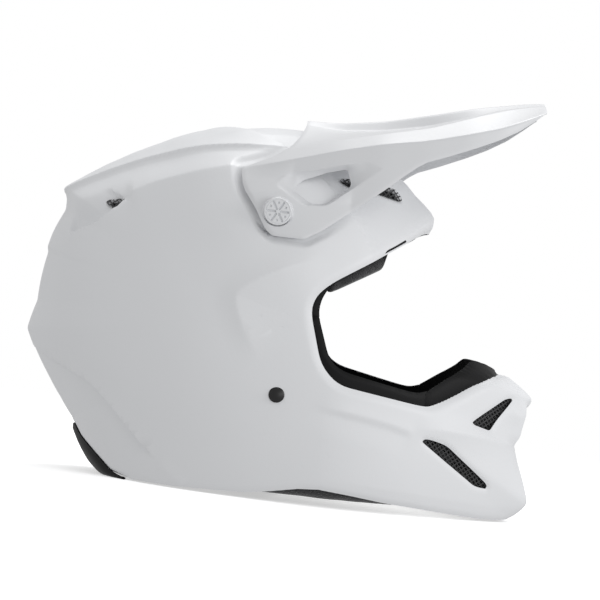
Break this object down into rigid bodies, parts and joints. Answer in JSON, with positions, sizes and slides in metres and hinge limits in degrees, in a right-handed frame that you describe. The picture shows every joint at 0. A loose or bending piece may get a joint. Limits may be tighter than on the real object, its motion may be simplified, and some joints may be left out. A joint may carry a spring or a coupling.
{
  "type": "motocross helmet",
  "caption": "Full-face off-road helmet with an open eye port, long chin bar, vented shell and tilting peak visor over padded liner.",
  "frame": {"origin": "on the floor under the middle of the bounding box, in the helmet's plane of symmetry", "axes": "front of the helmet towards -Y, up +Z, wearer's right -X"},
  "size_m": [0.25, 0.3626, 0.2936],
  "materials": {
    "shell_white": "matte",
    "visor_white": "matte",
    "black_rubber": "matte",
    "impact_foam": "matte",
    "liner_fabric": "matte",
    "strap_webbing": "matte",
    "steel": "satin",
    "white_cap": "satin",
    "brass_insert": "satin",
    "black_plastic": "satin",
    "vent_mesh": "matte"
  },
  "bodies": {
    "helmet": {"outer_shell": "shell_white", "eye_port_seal": "black_rubber", "rear_bumper_trim": "black_rubber", "chin_bar_nose_guard": "black_rubber", "crown_impact_foam": "impact_foam", "chin_bar_foam": "impact_foam", "cheek_foam_left": "impact_foam", "cheek_foam_right": "impact_foam", "comfort_liner": "liner_fabric", "brow_pad": "liner_fabric", "neck_roll": "liner_fabric", "cheek_pad_left": "liner_fabric", "cheek_pad_right": "liner_fabric", "strap_long": "strap_webbing", "strap_short": "strap_webbing", "strap_anchor_left": "steel", "strap_anchor_right": "steel", "pivot_insert_left": "brass_insert", "pivot_insert_right": "brass_insert", "strap_rivet_left": "black_plastic", "strap_rivet_right": "black_plastic", "strap_snap": "black_plastic", "cheek_pad_snaps_left": "black_plastic", "cheek_pad_snaps_right": "black_plastic", "mouth_vent_grille": "vent_mesh", "chin_vent_mesh_upper_left": "vent_mesh", "chin_vent_mesh_upper_right": "vent_mesh", "chin_vent_mesh_lower_left": "vent_mesh", "chin_vent_mesh_lower_right": "vent_mesh", "brow_vent_mesh_left": "vent_mesh", "brow_vent_mesh_right": "vent_mesh", "rear_vent_mesh_left": "vent_mesh", "rear_vent_mesh_right": "vent_mesh"},
    "visor": {"visor": "visor_white", "visor_rest_pad": "black_rubber"},
    "visor_screw_left": {"visor_screw_left": "white_cap"},
    "visor_screw_right": {"visor_screw_right": "white_cap"},
    "d_ring_lower": {"d_ring_lower": "steel"},
    "d_ring_upper": {"d_ring_upper": "steel"}
  },
  "joints": [
    {"name": "visor_tilt", "type": "hinge", "parent": "helmet", "child": "visor", "pos_m": [0, 0.0155, 0.193], "axis": [-1, 0, 0], "range_deg": [0, 6]},
    {"name": "screw_left_turn", "type": "hinge", "parent": "helmet", "child": "visor_screw_left", "pos_m": [0.119, 0.0155, 0.193], "axis": [1, 0, 0], "continuous": true},
    {"name": "screw_right_turn", "type": "hinge", "parent": "helmet", "child": "visor_screw_right", "pos_m": [-0.119, 0.0155, 0.193], "axis": [-1, 0, 0], "continuous": true},
    {"name": "d_ring_upper_swing", "type": "hinge", "parent": "helmet", "child": "d_ring_upper", "pos_m": [0.034, 0.0015, 0.0172], "axis": [0, 1, 0], "range_deg": [0, 8]},
    {"name": "d_ring_lower_swing", "type": "hinge", "parent": "helmet", "child": "d_ring_lower", "pos_m": [0.034, 0.0015, 0.013], "axis": [0, 1, 0], "range_deg": [0, 8]}
  ],
  "couplings": [
    {"joint": "d_ring_lower_swing", "follows": "d_ring_upper_swing", "ratio": 1}
  ]
}
